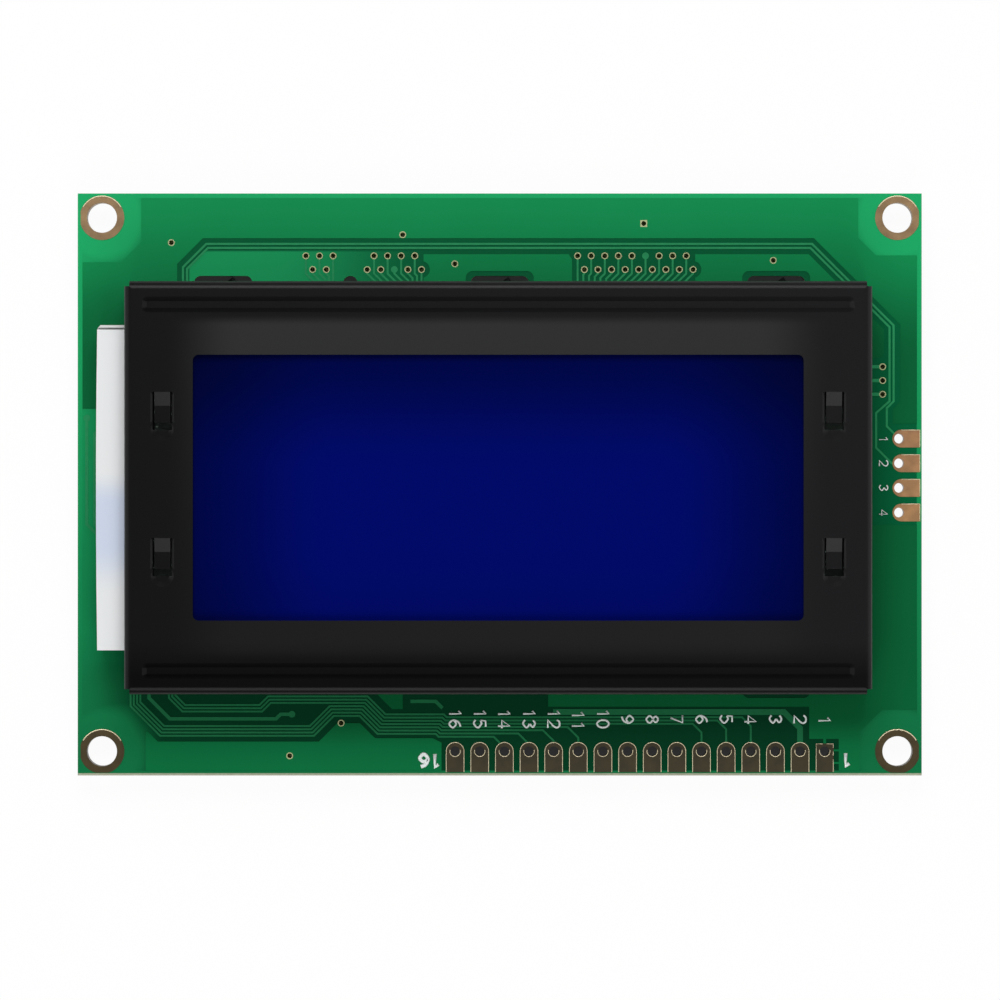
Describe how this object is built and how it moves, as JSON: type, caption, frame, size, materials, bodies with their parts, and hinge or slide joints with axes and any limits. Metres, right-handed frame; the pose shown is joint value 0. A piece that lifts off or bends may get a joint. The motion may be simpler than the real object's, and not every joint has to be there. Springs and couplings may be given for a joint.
{
  "type": "character lcd module",
  "caption": "Character liquid crystal display module: green circuit board with plated pads and corner holes, black steel bezel with a dark blue window, and a white side-lit backlight.",
  "frame": {"origin": "under the middle of the circuit board, level with the ends of the bezel's tabs", "axes": "+X along the board towards the side with the short pad row, +Y across it away from the long pad row, +Z out of the display"},
  "size_m": [0.087, 0.06, 0.013],
  "materials": {
    "board_laminate": "glass-fibre laminate under green solder mask",
    "masked_copper": "copper foil under glossy green solder mask",
    "tinned_copper": "copper under clear preservative, gone tan and brown",
    "header_copper": "copper under preservative, dark brown",
    "gold_contact": "gold-plated copper",
    "black_steel": "black satin coating on steel sheet",
    "clear_glass": "clear display glass",
    "blue_polariser": "dark blue glossy film",
    "dark_polariser": "dark glossy film",
    "cell_sealant": "cured clear sealant",
    "white_housing": "white moulded plastic",
    "white_film": "white reflecting film",
    "clear_acrylic": "clear acrylic",
    "lamp_body": "white lamp body",
    "tinned_lead": "tinned wire",
    "solder": "bright solder",
    "contact_rubber": "layered silicone rubber, pale outside with a dark conducting core",
    "black_resin": "glossy black resin",
    "resistor_body": "black glazed body on ceramic",
    "capacitor_body": "tan ceramic"
  },
  "bodies": {
    "root": {"circuit_board": "board_laminate", "front_ground_copper": "masked_copper", "front_tracks": "masked_copper", "back_ground_copper": "masked_copper", "back_tracks": "masked_copper", "plated_vias": "tinned_copper", "mounting_rings": "tinned_copper", "bottom_pads": "header_copper", "bus_pads": "tinned_copper", "contact_fingers": "gold_contact", "metal_bezel": "black_steel", "front_polariser": "blue_polariser", "front_glass": "clear_glass", "cell_seal": "cell_sealant", "rear_glass": "clear_glass", "rear_polariser": "dark_polariser", "diffuser_film": "white_film", "light_guide": "clear_acrylic", "reflector_film": "white_film", "backlight_housing": "white_housing", "lamp_cover_film": "white_film", "backlight_lamps": "lamp_body", "lamp_leads": "tinned_lead", "lamp_solder": "solder", "upper_contact_strip": "contact_rubber", "lower_contact_strip": "contact_rubber", "controller_drop": "black_resin", "driver_drops": "black_resin", "chip_resistors": "resistor_body", "chip_capacitors": "capacitor_body", "chip_terminals": "solder"}
  },
  "joints": []
}
